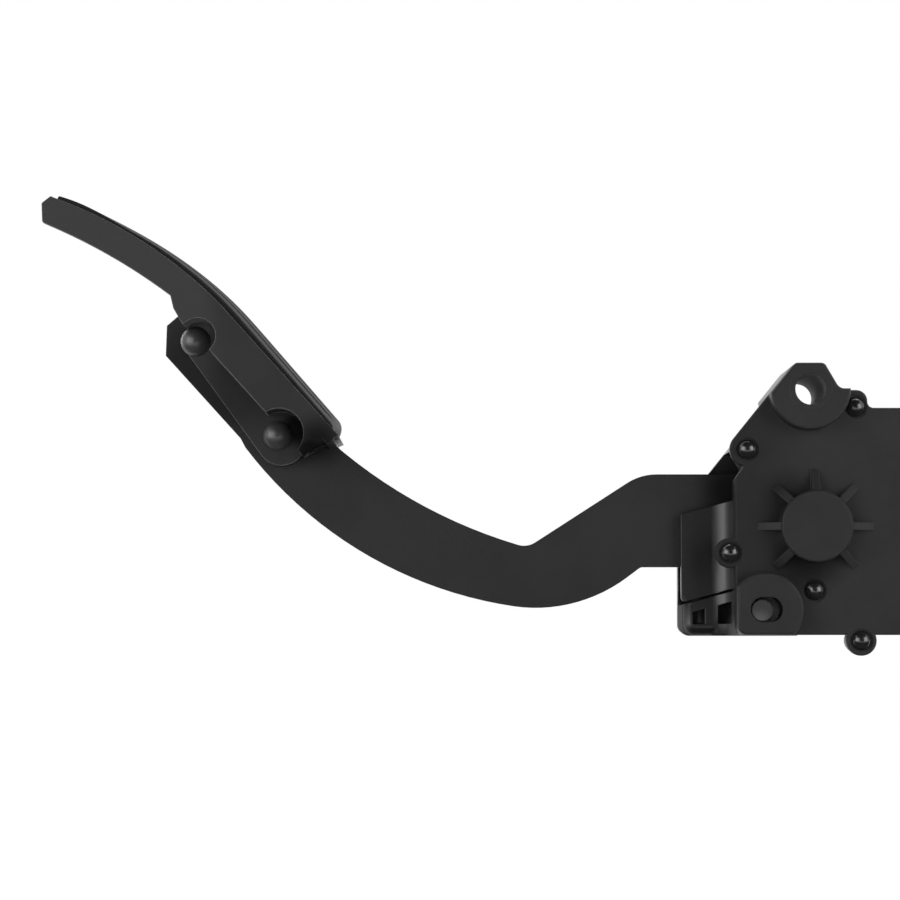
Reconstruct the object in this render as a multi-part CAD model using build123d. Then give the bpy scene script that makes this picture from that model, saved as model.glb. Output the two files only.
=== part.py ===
from build123d import *
import math
import os

# Hanging accelerator pedal with a position sensor. Millimetres, +Z up, +Y towards the far side.
# The origin is on the upper bolt's axis, at the face that is bolted to the car.

# Depths, from the mounting face towards the far side
lug_height = 6.0
hub_setback = 0.6
cover_wall = 2.4
cove_radius = 6.4
guard_wall = 2.4
arm_side_gap = 1.0
arm_thickness = 5.0
cavity_width = 14.4
far_wall = 2.4
far_boss_height = 3.0

# Mounting lugs
bolt_hole = 9.0
sleeve_wall = 1.6
lug_radius = 11.6
lug_top = 7.75
lug_flank = 7.4
lug_flank_angle = 30.0
lower_lug_radius = 10.7
slot_x = -13.2
slot_z = -63.6
slot_length = 9.4
slot_width = 7.2
post_gap = 0.5
post_setback = 0.3
post_round = 0.5
lug_round = 0.8

# Cover, seen from the side
cover_left = -21.6
cover_right = 46.0
cover_top = -4.9
cover_bottom = -70.9
cover_corner = 2.6
lug_corner = 1.8
top_ear_corner = 3.2
flank_hollow = 2.5
end_corner = 4.0
slant_angle = 51.1
slant_distance = 8.3
neck_depth = 2.1
neck_z = -22.8
neck_height = 2.9
edge_break = 0.4
ear_radius = 4.4
corner_boss_radius = 5.1
corner_boss_z = -17.0
top_ear_x = 13.7
top_ear_z = -4.7
top_ear_reach = 3.5
top_ear_top = 0.3
side_ear_x = -23.0
side_ear_z = -47.1
low_stud_x = 1.4
low_stud_z = -58.0
bottom_ear_x = 14.8
bottom_ear_z = -72.5
end_stud_inset = 6.0

# Cover fasteners
stud_radius = 1.8
stud_head_radius = 2.9
stud_head_height = 2.2
stud_seat_radius = 3.4
stud_seat_depth = 0.5
stud_grip = 7.5

# Pivot
pivot_x = 1.7
pivot_z = -39.5
hub_radius = 10.4
rib_reach = 16.7
rib_thickness = 2.3
rib_drop = 0.9
rib_toe = 0.3
rib_root = 1.0
near_rib_angles = (0, 45, 90, 135, 180, 225, 315)
far_rib_angles = (0, 90, 180, 270)
far_bar_angles = (45, 135, 225, 315)
far_bar_height = 1.2
shaft_radius = 4.0
running_gap = 0.05
bush_wall = 2.0
bush_flange = 1.0
hub_roof = 2.2
washer_thickness = 0.7
washer_reach = 11.0
retainer_thickness = 0.9
retainer_reach = 2.4
retainer_grip = 0.8
shaft_end = 1.2

# Housing
housing_wall = 2.4
rim_wall = 2.8
rim_inset = 0.4
slant_inset = 1.7
guard_left = -36.6
guard_rise = 3.9
guard_top_z = -35.4
guard_corner = 1.2
foot_round = 2.8
foot_corner = 3.4
foot_inset = 0.55
foot_drop = 0.2
full_travel = 15.3
stop_gap = 0.35
seal_width = 1.2
seal_height = 0.9
seal_lip = 0.3
window_depth = 12.0
window_floor_z = -67.6
window_roof = 3.0
window_left_wall = 3.3
window_left_width = 3.6
window_web = 3.8
window_right_wall = 0.5

# Arm, seen from the side; reaches and drops are from the pivot
arm_rise = 15.9
arm_drop = 11.4
arm_root_reach = 10.3
arm_root_corner = 9.0
arm_shoulder_reach = 49.8
arm_bend_radius = 16.0
arm_valley_reach = 83.3
arm_valley_drop = 5.7
arm_valley_radius = 6.0
arm_climb_angle = 16.8
arm_climb_run = 3.2
arm_bow_angle = 36.8
arm_bow_lead = 4.1
arm_bow_corner = 2.5
arm_bow_reach = 87.3
arm_bow_drop = 22.9
arm_end_reach = 9.85
arm_end_top = 0.9
arm_end_drop = 9.4
arm_end_cut_along = 6.55
arm_end_cut_up = 6.05
arm_heel_along = 29.8
arm_heel_step = 0.7
arm_bow_end = 32.9
arm_back_along = 48.4
arm_back_up = 10.9

# Rotor and springs
rotor_radius = 12.5
rotor_gap = 0.3
tail_reach = 28.0
tail_rise = 1.5
tail_thickness = 6.0
arm_rivet_radius = 1.6
arm_rivet_reach = 8.6
arm_rivet_count = 3
arm_rivet_start = 60.0
spring_outer_radius = 5.2
spring_outer_wire = 1.7
spring_outer_turns = 6
spring_inner_radius = 3.1
spring_inner_wire = 1.2
spring_inner_turns = 8
spring_gap = 0.15
spring_facets = 8
spigot_height = 4.0
bumper_radius = 4.5
bumper_height = 5.0
bumper_stem_radius = 1.8
bumper_stem = 3.0

# Sensor
board_thickness = 1.6
board_gap = 0.8
board_left = -11.0
board_right = 38.0
board_half_height = 13.0
board_hole = 9.0
board_corner = 1.5
board_post_radius = 2.0
board_post_inset = 3.0
collar_wall = 1.8
magnet_wall = 2.0
magnet_height = 2.4
magnet_gap = 0.6
chip_width = 4.0
chip_thickness = 1.2
chip_height = 3.2
terminal_width = 1.2
terminal_thickness = 0.8
terminal_pitch = 5.0
terminal_tip = 12.0
terminal_lap = 6.0
terminal_rows = 3
shroud_depth = 13.0
shroud_height = 22.0
shroud_length = 20.0
shroud_wall = 1.6
shroud_back = 2.0
latch_length = 5.0
latch_width = 8.0
latch_height = 1.5
latch_inset = 4.0
block_length = 2.4
block_gap = 0.2
end_cap_wall = 2.2
end_cap_lip = 3.0
end_cap_gap = 0.2

# Foot pad; along runs down the pad's face from the upper rivet, up is out of the face
pad_reach = 180.8
pad_climb = 54.7
pad_width = 40.0
pad_face_up = 14.27
pad_arc_end = 4.9
pad_tip_angle = 16.6
pad_flat_angle = 49.0
pad_arc_radius = 116.4
pad_flat_length = 44.6
pad_end_depth = 12.4
pad_end_lean = 2.6
far_skirt_rise = 3.6
pad_skin = 2.2
tongue_depth = 9.5
tongue_tip_depth = 8.1
tongue_tip_angle = 17.0
tongue_middle_angle = 27.3
tongue_root_angle = 39.2
tongue_web_angle = 40.9
tongue_web_depth = 11.8
web_start = 5.2
web_drop = -0.5
lip_reach = 3.28
lip_top_reach = 0.5
lip_rise = 0.45
lip_front_drop = 1.75
lip_bottom_drop = 7.3
lip_lean = 0.25
lip_corner = 0.7
rim_middle_angle = 31.8
rim_middle_depth = 1.25
rim_low_angle = 45.0
rim_low_depth = 1.55
rim_end_depth = 0.85
pad_end_round = 2.0
tray_depth = 2.6
tray_floor = 2.4
tread_gap = 0.3
tread_side_gap = 0.8
tread_edge = -0.1
tread_crown = 2.4
tread_start = 0.9
tread_end = 1.6
groove_count = 6
groove_pitch = 5.0
groove_radius = 0.9
rib_count = 3
ear_thickness = 5.0
pad_rivet_spacing = 36.8
pad_rivet_head = 4.4
pad_rivet_dome = 3.0
pad_rivet_shank = 2.5
strap_upper_radius = 4.0
strap_lower_radius = 7.3
strap_lower_shift = 1.9
recess_shift = 0.8
recess_upper_up = 1.5
recess_upper_radius = 5.2
recess_lower_up = 0.75
recess_lower_radius = 7.2
channel_upper_up = 1.3
channel_lower_up = 2.1

# Allowance for picking edges by place
tolerance = 0.001

# Depths worked out from the above
cover_face = lug_height
cover_back = cover_face + cover_wall
guard_face = cover_back + cove_radius
guard_back = guard_face + guard_wall
arm_near = guard_back + arm_side_gap
arm_far = arm_near + arm_thickness
arm_middle = (arm_near + arm_far) / 2
far_inner = guard_back + cavity_width
housing_back = far_inner + far_wall
boss_back = housing_back + far_boss_height
cavity_middle = guard_back + cavity_width / 2

# Places worked out from the above
pivot = (pivot_x, pivot_z)
bolt_axis = (0, 0)
slot_centre = (slot_x, slot_z)
sleeve_radius = bolt_hole / 2 + sleeve_wall
stud_post_radius = stud_radius + seal_width + 2 * seal_lip
slant_sin = math.sin(math.radians(slant_angle))
slant_cos = math.cos(math.radians(slant_angle))
body_bottom = cover_bottom + rim_inset
body_top = cover_top - rim_inset
body_right = cover_right - rim_inset
cavity_top = body_top - housing_wall
cavity_bottom = body_bottom + housing_wall
arm_top_z = pivot_z + arm_rise
arm_bottom_z = pivot_z - arm_drop
arm_root_x = pivot_x + arm_root_reach
tail_top_z = pivot_z + tail_rise
spring_x = pivot_x + tail_reach
spigot_radius = spring_inner_radius - spring_inner_wire / 2 - spring_gap
bush_bore = shaft_radius + running_gap
bush_radius = bush_bore + bush_wall
board_near = cover_back + board_gap
board_far = board_near + board_thickness
rotor_far = far_inner - bush_flange - rotor_gap
retainer_near = boss_back + rotor_gap
magnet_far = guard_face - magnet_gap
magnet_near = magnet_far - magnet_height
collar_radius = shaft_radius + collar_wall
pad_near = arm_middle - pad_width / 2
pad_far = arm_middle + pad_width / 2


def on_slant(z, inset=0.0):
    """X of the slanted front edge at a height, moved inwards by an inset."""
    return (z * slant_cos - slant_distance + inset) / slant_sin


def stop_z(x):
    """Height of the full-travel stop, which lies along the arm's lower edge at full travel."""
    turn = math.radians(full_travel)
    return pivot_z + (x - pivot_x) * math.tan(turn) - (arm_drop + stop_gap) / math.cos(turn)


corner_boss = (on_slant(corner_boss_z, corner_boss_radius), corner_boss_z)
top_ear = (top_ear_x, top_ear_z)
side_ear = (side_ear_x, side_ear_z)
low_stud = (low_stud_x, low_stud_z)
bottom_ear = (bottom_ear_x, bottom_ear_z)
end_studs = [
    (cover_right - end_stud_inset, cover_top - end_stud_inset),
    (cover_right - end_stud_inset, cover_bottom + end_stud_inset),
]
studs = [corner_boss, top_ear, side_ear, low_stud, bottom_ear] + end_studs


def plate(outline, near, far):
    """Solid between two depths from an outline drawn in X and Z."""
    return Pos(0, far, 0) * Rot(90, 0, 0) * extrude(outline, far - near)


def disc(centre, radius):
    return Pos(*centre) * Circle(radius)


def rod(centre, radius, near, far):
    return plate(disc(centre, radius), near, far)


def tube(centre, outer, inner, near, far):
    return plate(disc(centre, outer) - disc(centre, inner), near, far)


def shape(points, radii=0.0):
    return make_face(FilletPolyline(*points, radius=radii, close=True))


def block(x_range, y_range, z_range):
    size = [high - low for low, high in (x_range, y_range, z_range)]
    middle = [(high + low) / 2 for low, high in (x_range, y_range, z_range)]
    return Pos(*middle) * Box(*size)


def edges_at(solid, depth):
    """Edges that lie in the plane at a depth."""
    return solid.edges().filter_by_position(Axis.Y, depth - tolerance, depth + tolerance)


def broken_plate(outline, near, far):
    """Plate whose near face has its edges broken, as a moulding has."""
    solid = plate(outline, near, far)
    return chamfer(edges_at(solid, near), edge_break)


def soft_plate(outline, near, far):
    """Plate whose near face has well rounded edges."""
    solid = plate(outline, near, far)
    return fillet(edges_at(solid, near), lug_round)


def locating_post():
    """Round post of the housing in the left end of the cover's oval hole, with a soft end."""
    middle_x = slot_x - slot_length / 2 + slot_width / 2
    place = (middle_x - post_gap / 2, slot_z - post_gap / 2)
    solid = rod(place, slot_width / 2 - post_gap, post_setback, cover_back + edge_break)
    return fillet(edges_at(solid, post_setback), post_round)


def upright(radius, low, high):
    """Upright cylinder on the spring's axis."""
    return Pos(spring_x, cavity_middle, (low + high) / 2) * Cylinder(radius, high - low)


def cap_of_sphere(centre, radius, height, base, towards):
    """Domed head on a plane at a depth; towards is -1 for the near side and +1 for the far side."""
    ball = (radius**2 + height**2) / (2 * height)
    dome = Sphere(ball) & Pos(0, 0, ball) * Box(4 * ball, 4 * ball, 2 * height)
    dome = Pos(0, 0, height - ball) * dome
    return Pos(centre[0], base, centre[1]) * Rot(90 if towards < 0 else -90, 0, 0) * dome


# Outlines seen from the side
def cover_plan():
    flank = math.radians(lug_flank_angle)
    flank_x = [(lug_flank - z * math.sin(flank)) / math.cos(flank) for z in (top_ear_top, lug_top)]
    boss_x, boss_z = corner_boss
    boss_touch = (boss_x - corner_boss_radius * slant_sin, boss_z + corner_boss_radius * slant_cos)
    points = [
        (cover_left, cover_bottom),
        (cover_right, cover_bottom),
        (cover_right, cover_top),
        (top_ear_x + top_ear_reach, cover_top),
        (top_ear_x + top_ear_reach, top_ear_top),
        (flank_x[0], top_ear_top),
        (flank_x[1], lug_top),
        (on_slant(lug_top), lug_top),
        boss_touch,
        corner_boss,
        (cover_left + neck_depth, neck_z),
        (cover_left, neck_z - neck_height),
    ]
    corners = [cover_corner, end_corner, end_corner]
    lug_corners = [lug_corner, top_ear_corner, flank_hollow, lug_corner, lug_corner]
    radii = corners + lug_corners + [0, 0, 0, 0]
    plan = shape(points, radii) + disc(corner_boss, corner_boss_radius)
    return plan + disc(side_ear, ear_radius) + disc(bottom_ear, ear_radius)


cover_outline = cover_plan()
upper_lug = cover_outline & disc(bolt_axis, lug_radius)
lower_lug = cover_outline & disc(slot_centre, lower_lug_radius)
slot_outline = Pos(*slot_centre) * SlotOverall(slot_length, slot_width)
body_outline = shape(
    [
        (cover_left + rim_inset, body_bottom),
        (body_right, body_bottom),
        (body_right, body_top),
        (on_slant(body_top, slant_inset), body_top),
        (on_slant(corner_boss_z, slant_inset), corner_boss_z),
        (cover_left + rim_inset + neck_depth, neck_z),
        (cover_left + rim_inset, neck_z - neck_height),
    ],
    [cover_corner, end_corner, end_corner, 0, 0, 0, 0],
)
guard_outline = shape(
    [
        (guard_left, guard_top_z),
        (cover_left + rim_inset, guard_top_z + guard_rise),
        (cover_left + rim_inset, stop_z(cover_left + rim_inset) + 2 * stop_gap),
        (guard_left, stop_z(guard_left) + 2 * stop_gap),
    ],
    [guard_corner, 0, 0, guard_corner],
)
foot_left = guard_left + foot_inset
foot_right = slot_x + lower_lug_radius
foot_bottom = cover_bottom - foot_drop
foot_outline = shape(
    [
        (foot_left, foot_bottom),
        (foot_right, foot_bottom),
        (foot_right, stop_z(foot_right)),
        (foot_left, stop_z(foot_left)),
    ],
    [foot_corner, 0, 0, 0],
)
far_left = guard_left + rim_inset
far_outline = shape(
    [
        (far_left, body_bottom),
        (body_right, body_bottom),
        (body_right, body_top),
        (on_slant(body_top, slant_inset), body_top),
        (far_left, (far_left * slant_sin + slant_distance - slant_inset) / slant_cos),
    ],
    [cover_corner, end_corner, end_corner, 0, 0],
)
stud_posts = cover_outline & (Sketch() + [disc(stud, stud_post_radius) for stud in studs])


def cove(outline):
    """Hollow round that leads from the arm guard up to the cover's edge."""
    corner_x = cover_left + rim_inset
    square = block((corner_x - cove_radius, corner_x), (cover_back, guard_face), (cover_bottom, lug_top))
    hollow = Pos(corner_x - cove_radius, cover_back, 0) * Cylinder(cove_radius, 4 * abs(cover_bottom))
    return (square - hollow) & plate(outline, cover_back, guard_face)


def housing():
    rim_outline = body_outline + upper_lug + lower_lug + stud_posts
    half_block = shroud_height / 2 - shroud_wall + block_gap
    solid = plate(rim_outline, cover_back, guard_back) - plate(pocket_outline(), cover_back, guard_face)
    solid += plate(guard_outline, guard_face, guard_back) + cove(guard_outline)

    # The stop foot, with rounded near edges and moulded hollows
    foot = plate(foot_outline, guard_face, housing_back)
    front = edges_at(foot, guard_face)
    soft = [edge for edge in front if edge.center().Z < stop_z(foot_left) and edge.center().X < slot_x]
    solid += fillet(soft, foot_round) + cove(foot_outline)
    window_left = guard_left + window_left_wall
    window_split = window_left + window_left_width
    windows = [(window_left, window_split), (window_split + window_web, cover_left - window_right_wall)]
    for left, right in windows:
        roof = [(right, stop_z(right) - window_roof), (left, stop_z(left) - window_roof)]
        opening = shape([(left, window_floor_z), (right, window_floor_z)] + roof)
        solid -= plate(opening, cover_back, guard_face + window_depth)

    # The open box that the arm's root turns in
    wall_end = corner_boss_z
    reach = 2 * guard_left
    cavity = shape(
        [
            (cover_right + housing_wall, cavity_top),
            (cover_right + housing_wall, cavity_bottom),
            (foot_right, cavity_bottom),
            (foot_right, stop_z(foot_right)),
            (reach, stop_z(reach)),
            (reach, wall_end),
            (on_slant(wall_end, slant_inset + housing_wall), wall_end),
            (on_slant(cavity_top, slant_inset + housing_wall), cavity_top),
        ]
    )
    box = plate(far_outline + upper_lug, guard_back, housing_back)
    solid += box - plate(cavity - upper_lug, guard_back, far_inner)

    # Bearing boss and stiffening bars on the far side, spring spigot, bumper pillar and posts
    solid += plate(far_bars(), housing_back, housing_back + far_bar_height)
    boss_radius = bush_radius + housing_wall
    solid += rod(pivot, boss_radius, far_inner, boss_back)
    far_base = (housing_back - edge_break, housing_back + rib_toe)
    for angle in far_rib_angles:
        solid += gusset(angle, boss_radius, far_base, boss_back - rib_drop)
    solid += upright(spigot_radius, cavity_top - spigot_height, cavity_top)
    pillar_top = tail_top_z - tail_thickness - rotor_gap - bumper_height
    pillar = block(
        (spring_x - bumper_radius, spring_x + bumper_radius),
        (guard_back, far_inner),
        (cavity_bottom, pillar_top),
    )
    solid += pillar - upright(bumper_stem_radius, pillar_top - bumper_stem, pillar_top)
    for place in board_places():
        solid += rod(place, board_post_radius, board_far, guard_face)
    solid += locating_post()

    # Holes: shaft, bush, sleeve, studs, seal groove and the gap for the terminal block
    solid -= rod(pivot, shaft_radius + magnet_gap, guard_face, guard_back)
    solid -= rod(pivot, bush_radius, far_inner, boss_back)
    solid -= rod(bolt_axis, sleeve_radius, cover_back, housing_back)
    for stud in studs:
        solid -= rod(stud, stud_radius, cover_back, cover_back + stud_grip)
    solid -= plate(seal_outline(), cover_back, cover_back + seal_height)
    notch_z = (pivot_z - half_block, pivot_z + half_block)
    solid -= block((body_right - rim_wall, cover_right), (cover_back, guard_face - block_gap), notch_z)
    return solid


def far_bars():
    """Border and slanted bars that stiffen the far wall."""
    span = 2 * (cover_right - guard_left)
    bars = far_outline - offset(far_outline, -rim_wall)
    for angle in far_bar_angles:
        bars += Pos(*pivot) * Rot(0, 0, angle) * Pos(span / 2, 0) * Rectangle(span, rib_thickness)
    return (bars & far_outline) - disc(pivot, bush_radius) - disc(bolt_axis, sleeve_radius + sleeve_wall)


def pocket_outline():
    """Floor of the sensor's space, inside the rim and round the lugs and posts."""
    return offset(body_outline, -rim_wall) - upper_lug - lower_lug - stud_posts


def seal_outline():
    """Ring round the sensor's space, open where the terminals pass."""
    space = make_face(pocket_outline().face().outer_wire())
    ring = offset(space, seal_lip + seal_width) - offset(space, seal_lip)
    notch_height = shroud_height + 4 * seal_width
    notch = Pos(cover_right, pivot_z) * Rectangle(4 * rim_wall, notch_height)
    return ring - notch


def board_places():
    low = pivot_z - board_half_height + board_post_inset
    high = pivot_z + board_half_height - board_post_inset
    columns = (board_left + board_post_inset, board_right - board_post_inset)
    return [(x, z) for x in columns for z in (low, high)]


def terminal_heights():
    return [pivot_z + (row - (terminal_rows - 1) / 2) * terminal_pitch for row in range(terminal_rows)]


def terminal_depths():
    """Near side of each row of blades, which lie on the two faces of the board."""
    return [board_near - terminal_thickness, board_far]


def gusset(angle, hub, base, top):
    """Rib on the round of a hub; base is its root and toe, and top its height at the hub."""
    root, toe = base
    start = hub - rib_root
    side = shape([(start, root), (rib_reach, root), (rib_reach, toe), (start, top)])
    rib = Pos(0, 0, -rib_thickness / 2) * extrude(side, rib_thickness)
    return Pos(pivot_x, 0, pivot_z) * Rot(0, -angle, 0) * rib


def sensor_cover():
    solid = broken_plate(cover_outline, cover_face, cover_back)
    solid += soft_plate(upper_lug, 0, cover_back) + soft_plate(lower_lug, 0, cover_back)
    solid += broken_plate(disc(pivot, hub_radius), hub_setback, cover_back)
    near_base = (cover_face + edge_break, cover_face - rib_toe)
    for angle in near_rib_angles:
        solid += gusset(angle, hub_radius, near_base, hub_setback + rib_drop)

    # Connector shroud with its terminal block
    shroud_middle = (board_near + board_far) / 2
    y_out = (shroud_middle - shroud_depth / 2, shroud_middle + shroud_depth / 2)
    z_out = (pivot_z - shroud_height / 2, pivot_z + shroud_height / 2)
    y_in = (y_out[0] + shroud_wall, y_out[1] - shroud_wall)
    z_in = (z_out[0] + shroud_wall, z_out[1] - shroud_wall)
    tip = cover_right + shroud_length
    solid += block((cover_right, tip), y_out, z_out)
    solid -= block((cover_right + shroud_back, tip), y_in, z_in)
    solid += block((cover_right - block_length, cover_right), (cover_back, guard_face - 2 * block_gap), z_in)
    solid -= terminals()
    latch_tip = tip - latch_inset
    latch_root = latch_tip - latch_length
    latch = shape([(latch_tip, y_out[0]), (latch_root, y_out[0]), (latch_root, y_out[0] - latch_height)])
    solid += Pos(0, 0, pivot_z - latch_width / 2) * extrude(latch, latch_width)

    # Holes: sleeve, oval for the housing's post, bearing bush and studs with their seats
    solid -= rod(bolt_axis, sleeve_radius, 0, cover_back)
    solid -= plate(slot_outline, 0, cover_back)
    solid -= rod(pivot, bush_radius, hub_setback + hub_roof, cover_back)
    for stud in studs:
        solid -= rod(stud, stud_radius, cover_face, cover_back)
        solid -= rod(stud, stud_seat_radius, cover_face, cover_face + stud_seat_depth)
    return solid


def terminals():
    start = board_right - terminal_lap
    tip = cover_right + shroud_back + terminal_tip
    blades = []
    for near in terminal_depths():
        for z in terminal_heights():
            z_range = (z - terminal_width / 2, z + terminal_width / 2)
            blades.append(block((start, tip), (near, near + terminal_thickness), z_range))
    return Compound(blades)


def cover_studs():
    seat = cover_face + stud_seat_depth
    pieces = []
    for stud in studs:
        head = cap_of_sphere(stud, stud_head_radius, stud_head_height, seat, -1)
        pieces.append(head + rod(stud, stud_radius, seat, cover_back + stud_grip))
    return Compound([piece.solid() for piece in pieces])


# Arm and what turns with it
def arm_outline():
    root_middle = (arm_root_x, (arm_top_z + arm_bottom_z) / 2)
    shoulder_x = pivot_x - arm_shoulder_reach
    valley = (pivot_x - arm_valley_reach, pivot_z - arm_valley_drop)
    climb = Vector(-1, math.tan(math.radians(arm_climb_angle)))
    climb_end = Vector(*valley) + climb * arm_climb_run
    fall = Vector(-1, -math.tan(math.radians(arm_bow_angle)))
    bow_start = Vector(shoulder_x, arm_bottom_z) + fall * arm_bow_lead
    bow_middle = (pivot_x - arm_bow_reach, pivot_z - arm_bow_drop)
    top = FilletPolyline(
        root_middle,
        (arm_root_x, arm_top_z),
        (shoulder_x, arm_top_z),
        valley,
        climb_end,
        radius=[arm_root_corner, arm_bend_radius, arm_valley_radius],
    )
    back = TangentArc(climb_end, on_pad(arm_back_along, arm_back_up), tangent=climb)
    end = Polyline(
        on_pad(arm_back_along, arm_back_up),
        on_pad(-arm_end_reach, arm_end_top),
        on_pad(-arm_end_reach, arm_end_cut_up - arm_end_drop),
        on_pad(arm_end_cut_along - arm_end_reach, -arm_end_drop),
        on_pad(arm_heel_along, arm_heel_step - arm_end_drop),
        on_pad(arm_bow_end, -arm_end_drop),
    )
    bow_low = TangentArc(bow_start, bow_middle, tangent=fall)
    bow_high = TangentArc(bow_middle, on_pad(arm_bow_end, -arm_end_drop), tangent=bow_low % 1)
    root = FilletPolyline(
        bow_start,
        (shoulder_x, arm_bottom_z),
        (arm_root_x, arm_bottom_z),
        root_middle,
        radius=[arm_bow_corner, arm_root_corner],
    )
    return make_face([*top.edges(), back, *end.edges(), bow_high, bow_low, *root.edges()])


def arm_rivet_places():
    centres = PolarLocations(arm_rivet_reach, arm_rivet_count, start_angle=arm_rivet_start)
    return [(pivot_x + place.position.X, pivot_z + place.position.Y) for place in centres]


def pedal_arm():
    holes = [disc(pivot, shaft_radius)] + [disc(place, arm_rivet_radius) for place in arm_rivet_places()]
    holes += [disc(place, pad_rivet_shank) for place in pad_rivet_places()]
    return plate(arm_outline() - (Sketch() + holes), arm_near, arm_far)


def pedal_rotor():
    tail_end = spring_x + spring_outer_radius + spring_outer_wire
    half = cavity_width / 2 - 2 * rotor_gap
    hub = rod(pivot, rotor_radius, arm_far, rotor_far)
    web = block((pivot_x, tail_end), (arm_far, rotor_far), (tail_top_z - tail_thickness, tail_top_z))
    seat = block(
        (arm_root_x + 2 * arm_side_gap, tail_end),
        (cavity_middle - half, cavity_middle + half),
        (tail_top_z - tail_thickness, tail_top_z),
    )
    spigot = upright(spigot_radius, tail_top_z, tail_top_z + spigot_height)
    solid = hub + web + seat + spigot - rod(pivot, shaft_radius, arm_far, rotor_far)
    for place in arm_rivet_places():
        solid -= rod(place, arm_rivet_radius, arm_far, rotor_far)
    return solid


def arm_rivets():
    rivets = [rod(place, arm_rivet_radius, arm_near, rotor_far) for place in arm_rivet_places()]
    return Compound([rivet.solid() for rivet in rivets])


def pivot_shaft():
    near = hub_setback + hub_roof + rotor_gap
    far = retainer_near + retainer_thickness + shaft_end
    root = shaft_radius - retainer_grip
    groove = tube(pivot, 2 * shaft_radius, root, retainer_near, retainer_near + retainer_thickness)
    shaft = rod(pivot, shaft_radius, near, far)
    return chamfer(edges_at(shaft, near) + edges_at(shaft, far), edge_break) - groove


def shaft_retainer():
    outer = shaft_radius + retainer_reach
    inner = shaft_radius - retainer_grip
    mouth = Pos(pivot_x + outer, pivot_z) * Rectangle(2 * outer, inner)
    ring = disc(pivot, outer) - disc(pivot, inner) - mouth
    return plate(ring, retainer_near, retainer_near + retainer_thickness)


def near_bush():
    return tube(pivot, bush_radius, bush_bore, hub_setback + hub_roof, cover_back)


def far_bush():
    flange = tube(pivot, bush_radius + bush_wall, bush_bore, far_inner - bush_flange, far_inner)
    return flange + tube(pivot, bush_radius, bush_bore, far_inner, boss_back)


def friction_washer():
    return tube(pivot, washer_reach, shaft_radius + magnet_gap, guard_back, guard_back + washer_thickness)


def magnet_holder():
    return tube(pivot, collar_radius, shaft_radius, magnet_near, magnet_far)


def magnet():
    return tube(pivot, collar_radius + magnet_wall, collar_radius, magnet_near, magnet_far)


def sensor_board():
    sheet = RectangleRounded(board_right - board_left, 2 * board_half_height, board_corner)
    sheet = Pos((board_left + board_right) / 2, pivot_z) * sheet
    return plate(sheet - disc(pivot, board_hole), board_near, board_far)


def hall_chips():
    start = pivot_x + board_hole + magnet_gap
    chips = []
    for z in (pivot_z - chip_height, pivot_z + chip_height):
        z_range = (z - chip_height / 2, z + chip_height / 2)
        chips.append(block((start, start + chip_width), (board_far, board_far + chip_thickness), z_range))
    return Compound(chips)


def coil(radius, wire, turns):
    """Compression spring between the rotor's tail and the housing's roof."""
    low = tail_top_z + wire / 2
    height = cavity_top - wire / 2 - low
    path = Helix(height / turns, height, radius, center=(spring_x, cavity_middle, low))
    section = Plane(origin=path @ 0, z_dir=path % 0) * RegularPolygon(wire / 2, spring_facets)
    return sweep(section, path=path, is_frenet=True)


def idle_bumper():
    top = tail_top_z - tail_thickness - rotor_gap
    base = top - bumper_height
    pad = upright(bumper_radius, base, top)
    pad = fillet(pad.edges().group_by(Axis.Z)[-1], bumper_height / 4)
    return pad + upright(bumper_stem_radius, base - bumper_stem, base)


def end_cap():
    low = cavity_bottom + end_cap_gap
    high = cavity_top - end_cap_gap
    near = guard_back + end_cap_gap
    far = far_inner - end_cap_gap
    end = body_right + end_cap_wall
    flange = block((body_right, end), (guard_back, housing_back), (body_bottom, body_top))
    flange = fillet(flange.edges().filter_by(Axis.X), end_cap_lip / 2)
    lip = block((body_right - end_cap_lip, body_right), (near, far), (low, high))
    core = block(
        (body_right - end_cap_lip, body_right),
        (near + housing_wall, far - housing_wall),
        (low + housing_wall, high - housing_wall),
    )
    return flange + lip - core


# Foot pad, drawn in X and Z along its curved face
def heading(angle):
    """Direction along the pad's face, at an angle below the horizontal."""
    return Vector(math.cos(math.radians(angle)), -math.sin(math.radians(angle)))


def inward(angle):
    return Vector(-math.sin(math.radians(angle)), -math.cos(math.radians(angle)))


def on_pad(along, up):
    """Point from the upper rivet: along the pad's straight run, and up towards its face."""
    rivet = Vector(pivot_x - pad_reach, pivot_z + pad_climb)
    return rivet + heading(pad_flat_angle) * along - inward(pad_flat_angle) * up


def below_face(angle, depth):
    """Point under the curved part of the face."""
    centre = on_pad(pad_arc_end, pad_face_up) + inward(pad_flat_angle) * pad_arc_radius
    return centre - inward(angle) * (pad_arc_radius - depth)


def pad_rivet_places():
    places = [on_pad(0, 0), on_pad(pad_rivet_spacing, 0)]
    return [(place.X, place.Y) for place in places]


def pad_line(depth, skip_start=0.0, skip_end=0.0):
    """The pad's face, or a line below it: an arc from the tip, then a straight run."""
    begin = pad_tip_angle + math.degrees(skip_start / pad_arc_radius)
    radius = pad_arc_radius - depth
    arc = JernArc(below_face(begin, depth), heading(begin), radius, begin - pad_flat_angle)
    run = Line(arc @ 1, (arc @ 1) + heading(pad_flat_angle) * (pad_flat_length - skip_end))
    return [arc, run]


def pad_strip(top, bottom, skip_start=0.0, skip_end=0.0):
    """Band between two lines below the pad's face."""
    upper = pad_line(top, skip_start, skip_end)
    lower = pad_line(bottom, skip_start, skip_end)
    sides = [Line(upper[1] @ 1, lower[1] @ 1), Line(lower[0] @ 0, upper[0] @ 0)]
    return make_face([*upper, *lower, *sides])


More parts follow.
